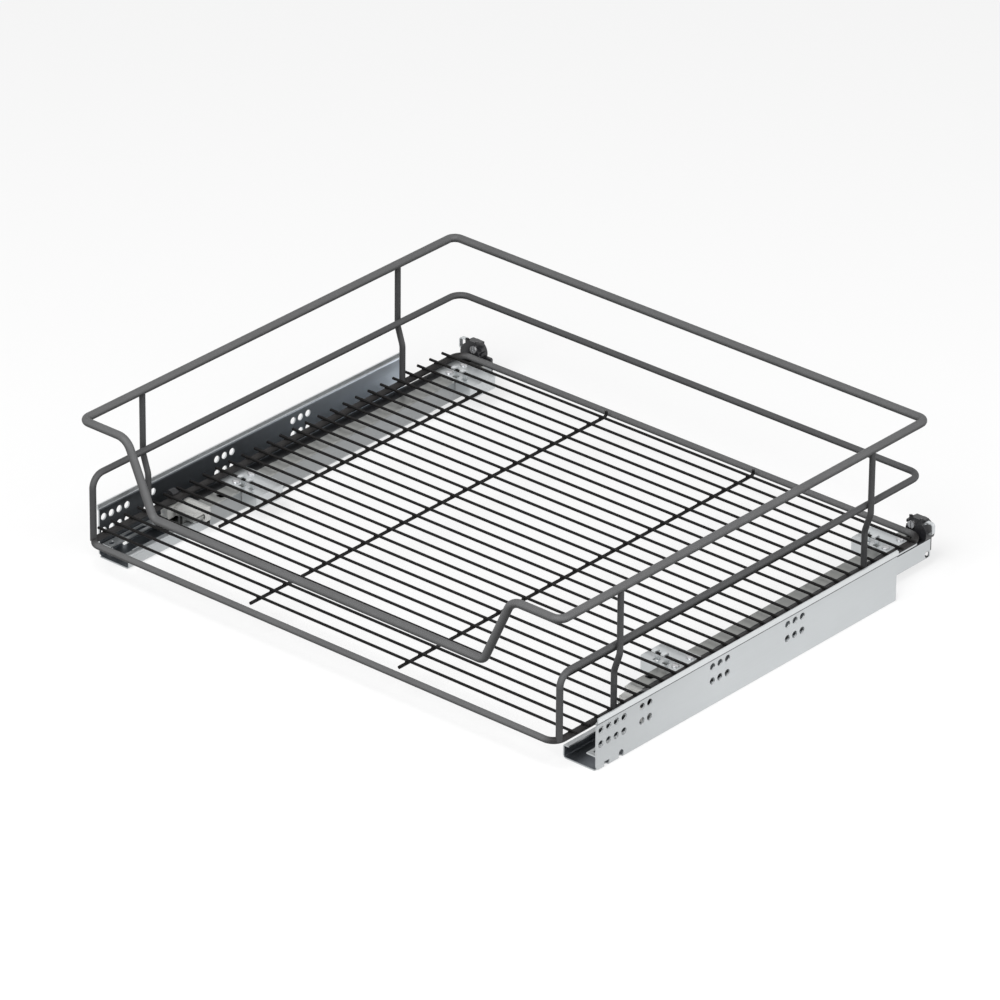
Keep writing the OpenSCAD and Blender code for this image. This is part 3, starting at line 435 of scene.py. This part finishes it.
def islands(node):
    """The lowest and highest corner of each separate solid in a node."""
    bm = merged(node)
    seen, found = set(), []
    for start in bm.verts:
        if start in seen:
            continue
        todo, group = [start], []
        seen.add(start)
        while todo:
            vert = todo.pop()
            group.append(vert.co.copy())
            for edge in vert.link_edges:
                other = edge.other_vert(vert)
                if other not in seen:
                    seen.add(other)
                    todo.append(other)
        low = Vector([min(co[i] for co in group) for i in range(3)])
        high = Vector([max(co[i] for co in group) for i in range(3)])
        found.append((low, high))
    bm.free()
    return found


def linked(name, data):
    """A new object in the scene."""
    obj = bpy.data.objects.new(name, data)
    bpy.context.scene.collection.objects.link(obj)
    return obj


def points_object(name, points):
    mesh = bpy.data.meshes.new(name)
    mesh.from_pydata([tuple(p) for p in points], [], [])
    return linked(name, mesh)


def bead_tree(name):
    """Geometry nodes that set a squashed ball on every point of the mesh they are given."""
    tree = bpy.data.node_groups.new(name, "GeometryNodeTree")
    nodes = Nodes(tree)
    face = tree.interface
    face.new_socket("Geometry", in_out="INPUT", socket_type="NodeSocketGeometry")
    size = face.new_socket("Half size", in_out="INPUT", socket_type="NodeSocketVector")
    coat = face.new_socket("Material", in_out="INPUT", socket_type="NodeSocketMaterial")
    face.new_socket("Geometry", in_out="OUTPUT", socket_type="NodeSocketGeometry")
    sockets = ("Geometry", "Half size", "Material")
    points, half_size, paint = (nodes.add("NodeGroupInput", out=socket) for socket in sockets)
    ball = nodes.add("GeometryNodeMeshUVSphere", inputs={"Segments": 16, "Rings": 8, "Radius": 1.0})
    spots = {"Points": points, "Instance": ball, "Scale": half_size}
    balls = nodes.add("GeometryNodeInstanceOnPoints", inputs=spots)
    real = nodes.add("GeometryNodeRealizeInstances", inputs={"Geometry": balls})
    smooth = nodes.add("GeometryNodeSetShadeSmooth", inputs={"Geometry": real})
    painted = nodes.add("GeometryNodeSetMaterial", inputs={"Geometry": smooth, "Material": paint})
    nodes.add("NodeGroupOutput", inputs={"Geometry": painted})
    return tree, size.identifier, coat.identifier


def grown(name, points, half_size, material):
    """A plain mesh of squashed balls on points."""
    seed = points_object(name + "_seed", points)
    tree, size, coat = bead_tree(name + "_tree")
    modifier = seed.modifiers.new("beads", "NODES")
    modifier.node_group = tree
    modifier[size] = half_size
    modifier[coat] = material
    bpy.context.view_layer.update()
    graph = bpy.context.evaluated_depsgraph_get()
    mesh = bpy.data.meshes.new_from_object(seed.evaluated_get(graph))
    mesh.name = name
    bpy.data.objects.remove(seed)
    bpy.data.node_groups.remove(tree)
    return linked(name, mesh)


class BASKET_OT_coat_wires(bpy.types.Operator):
    """Give the basket's wires their satin coat"""

    bl_idname = "basket.coat_wires"
    bl_label = "Coat wires"

    def execute(self, context):
        look = context.scene.basket_coat
        wire = tuple(look.wire)
        finish_nodes(["top_rim"], coated_wire("coated_wire", wire, look.wire_shine))
        finish_nodes(RAIL_WIRES, coated_wire("coated_rail_wire", tuple(look.rail_wire), look.wire_shine))
        finish_nodes(["base_frame"], coated_wire("coated_base_wire", wire, look.wire_shine, painted_shade_side_runs))
        finish_nodes(FLOOR_WIRES, coated_wire("coated_floor_wire", tuple(look.floor_wire_painted_shade), look.floor_shine))
        return {"FINISHED"}


class BASKET_OT_plate_runners(bpy.types.Operator):
    """Give the runners' sheet parts their zinc"""

    bl_idname = "basket.plate_runners"
    bl_label = "Plate runners"

    def execute(self, context):
        look = context.scene.runner_finish
        finish_nodes(both(PLATES), zinc("zinc_plate", tuple(look.zinc), plate_by_place))
        finish_nodes(both(("drawer_profile",)), zinc("zinc_slider", tuple(look.zinc), slider_painted_shade))
        finish_nodes(both(("middle_profile",)), zinc("zinc_middle", tuple(look.slider)))
        finish_nodes(both(FITTINGS), zinc("zinc_fitting", shaded(look.zinc, 1.1)))
        finish_nodes(SMALL_STEEL, small_steel(tuple(look.steel)))
        return {"FINISHED"}


class BASKET_OT_mould_parts(bpy.types.Operator):
    """Give the cages, locks, levers, clips and rollers their plastics"""

    bl_idname = "basket.mould_parts"
    bl_label = "Mould parts"

    def execute(self, context):
        look = context.scene.moulded_finish
        black = moulded("black_moulding", tuple(look.black), look.black_rough, fleck=0.25)
        pale = moulded("pale_moulding", tuple(look.pale), look.pale_rough, fleck=0.04)
        finish_nodes(both(MOULDINGS), black)
        finish_nodes(both(PALE_MOULDINGS), pale)
        return {"FINISHED"}


class BASKET_OT_weld_beads(bpy.types.Operator):
    """Set a weld bead wherever a cross wire meets the base frame or a long wire"""

    bl_idname = "basket.weld_beads"
    bl_label = "Weld beads"

    def execute(self, context):
        sizes = context.scene.join_sizes
        cross = sorted(islands("floor_cross_wires"), key=lambda corners: corners[0].y)
        low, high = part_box("base_frame")
        half_wire = (high.z - low.z) / 2
        sides = (low.x + half_wire, high.x - half_wire)
        columns = [(x, high.z, low.y, high.y) for x in sides]
        for start, end in islands("floor_long_wires"):
            columns.append(((start.x + end.x) / 2, cross[0][0].z, start.y, end.y))
        points = []
        for x, z, front, back in columns:
            for start, end in cross:
                y = (start.y + end.y) / 2
                if front < y < back:
                    points.append((x, y, z))
        coat = bpy.data.materials["coated_floor_wire"]
        half_size = (sizes.bead_across, sizes.bead_along, sizes.bead_high)
        obj = grown("weld_beads", points, half_size, coat)
        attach(obj, "basket")
        return {"FINISHED"}


class BASKET_OT_rivet_domes(bpy.types.Operator):
    """Dome the heads of the bracket rivets"""

    bl_idname = "basket.rivet_domes"
    bl_label = "Rivet domes"

    def execute(self, context):
        sizes = context.scene.join_sizes
        heads = islands("bracket_rivets")
        points = []
        for low, high in heads:
            points.append(((low.x + high.x) / 2, (low.y + high.y) / 2, high.z - sizes.dome_sink))
        across = (high.x - low.x) / 2 * sizes.dome_share
        steel = bpy.data.materials["small_steel"]
        obj = grown("rivet_domes", points, (across, across, sizes.dome), steel)
        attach(obj, "basket")
        return {"FINISHED"}


def lamp(name, energy, size, place):
    """A square area lamp that looks at the origin."""
    data = bpy.data.lights.new(name, "AREA")
    data.energy = energy
    data.shape = "SQUARE"
    data.size = size
    obj = linked(name, data)
    obj.location = place
    obj.rotation_mode = "QUATERNION"
    obj.rotation_quaternion = (-Vector(place)).to_track_quat("-Z", "Y")


def seen_directly(nodes):
    """1 for rays from the camera and for those in gloss or through a clear body."""
    rays = ("Is Camera Ray", "Is Glossy Ray", "Is Transmission Ray")
    camera, glossy, clear = (nodes.add("ShaderNodeLightPath", out=ray) for ray in rays)
    return camera.or_more(glossy).or_more(clear)


class BASKET_OT_set_stage(bpy.types.Operator):
    """Lay the floor, light the world and the lamps, and place the camera"""

    bl_idname = "basket.set_stage"
    bl_label = "Set stage"

    def execute(self, context):
        look = context.scene.studio
        self.lay_floor(look)
        self.light_world(context.scene, look)
        lamp("key", look.key, KEY_SIZE, KEY_PLACE)
        lamp("fill", look.fill, FILL_SIZE, FILL_PLACE)
        self.place_camera(context.scene)
        context.scene.view_settings.view_transform = "Standard"
        return {"FINISHED"}

    def lay_floor(self, look):
        """A pale floor that the camera and gloss see as nearly white, with the part's shadow on it."""
        bpy.ops.mesh.primitive_plane_add(size=FLOOR_SIZE, location=(0, 0, -FLOOR_DROP))
        floor = bpy.context.object
        floor.name = "floor"
        finish = Finish("floor_pale")
        pale = finish.add("ShaderNodeBsdfDiffuse", inputs={"Color": (*look.floor, 1)})
        white = finish.add("ShaderNodeEmission", inputs={"Color": WHITE, "Strength": 1.0})
        share = seen_directly(finish) * look.floor_white
        finish.close(finish.add("ShaderNodeMixShader", inputs={0: share, 1: pale, 2: white}))
        floor.data.materials.append(finish.material)

    def light_world(self, scene, look):
        """A world that is white to look at and gives the object only a little light."""
        world = bpy.data.worlds.new("studio")
        scene.world = world
        world.use_nodes = True
        nodes = Nodes(world.node_tree)
        felt = nodes.add("ShaderNodeBackground", inputs={"Color": WHITE, "Strength": look.ambient})
        seen = nodes.add("ShaderNodeBackground", inputs={"Color": WHITE, "Strength": 1.0})
        mixed = nodes.add("ShaderNodeMixShader", inputs={0: seen_directly(nodes), 1: felt, 2: seen})
        nodes.add("ShaderNodeOutputWorld", inputs={"Surface": mixed})

    def place_camera(self, scene):
        data = bpy.data.cameras.new("camera")
        data.sensor_width = SENSOR
        data.lens = CAMERA_LENS
        data.clip_start, data.clip_end = CLIP
        camera = linked("camera", data)
        back = CAMERA_RIGHT.cross(CAMERA_UP)
        turn = Matrix((CAMERA_RIGHT, CAMERA_UP, back)).transposed()
        camera.rotation_mode = "QUATERNION"
        camera.rotation_quaternion = turn.to_quaternion()
        camera.location = CAMERA_PLACE
        scene.camera = camera


class BASKET_PT_panel(bpy.types.Panel):
    """Lists the steps that dress the basket drawer"""

    bl_label = "Basket drawer"
    bl_idname = "BASKET_PT_panel"
    bl_space_type = "VIEW_3D"
    bl_region_type = "UI"
    bl_category = "Basket"

    def draw(self, context):
        for step in STEPS:
            self.layout.operator(step.bl_idname)
        for group, name in GROUPS.items():
            for key in group.__annotations__:
                self.layout.prop(getattr(context.scene, name), key)


STEPS = (
    BASKET_OT_coat_wires,
    BASKET_OT_plate_runners,
    BASKET_OT_mould_parts,
    BASKET_OT_weld_beads,
    BASKET_OT_rivet_domes,
    BASKET_OT_set_stage,
)
GROUPS = {
    BasketCoat: "basket_coat",
    RunnerFinish: "runner_finish",
    MouldedFinish: "moulded_finish",
    JoinSizes: "join_sizes",
    Studio: "studio",
}


def register():
    for group, name in GROUPS.items():
        bpy.utils.register_class(group)
        setattr(bpy.types.Scene, name, bpy.props.PointerProperty(type=group))
    for step in STEPS:
        bpy.utils.register_class(step)
    bpy.utils.register_class(BASKET_PT_panel)


def unregister():
    bpy.utils.unregister_class(BASKET_PT_panel)
    for step in reversed(STEPS):
        bpy.utils.unregister_class(step)
    for group, name in GROUPS.items():
        delattr(bpy.types.Scene, name)
        bpy.utils.unregister_class(group)


def main():
    register()
    for step in STEPS:
        group, name = step.bl_idname.split(".")
        if getattr(getattr(bpy.ops, group), name)() != {"FINISHED"}:
            raise RuntimeError(f"{step.bl_idname} did not finish")


if __name__ == "__main__":
    main()
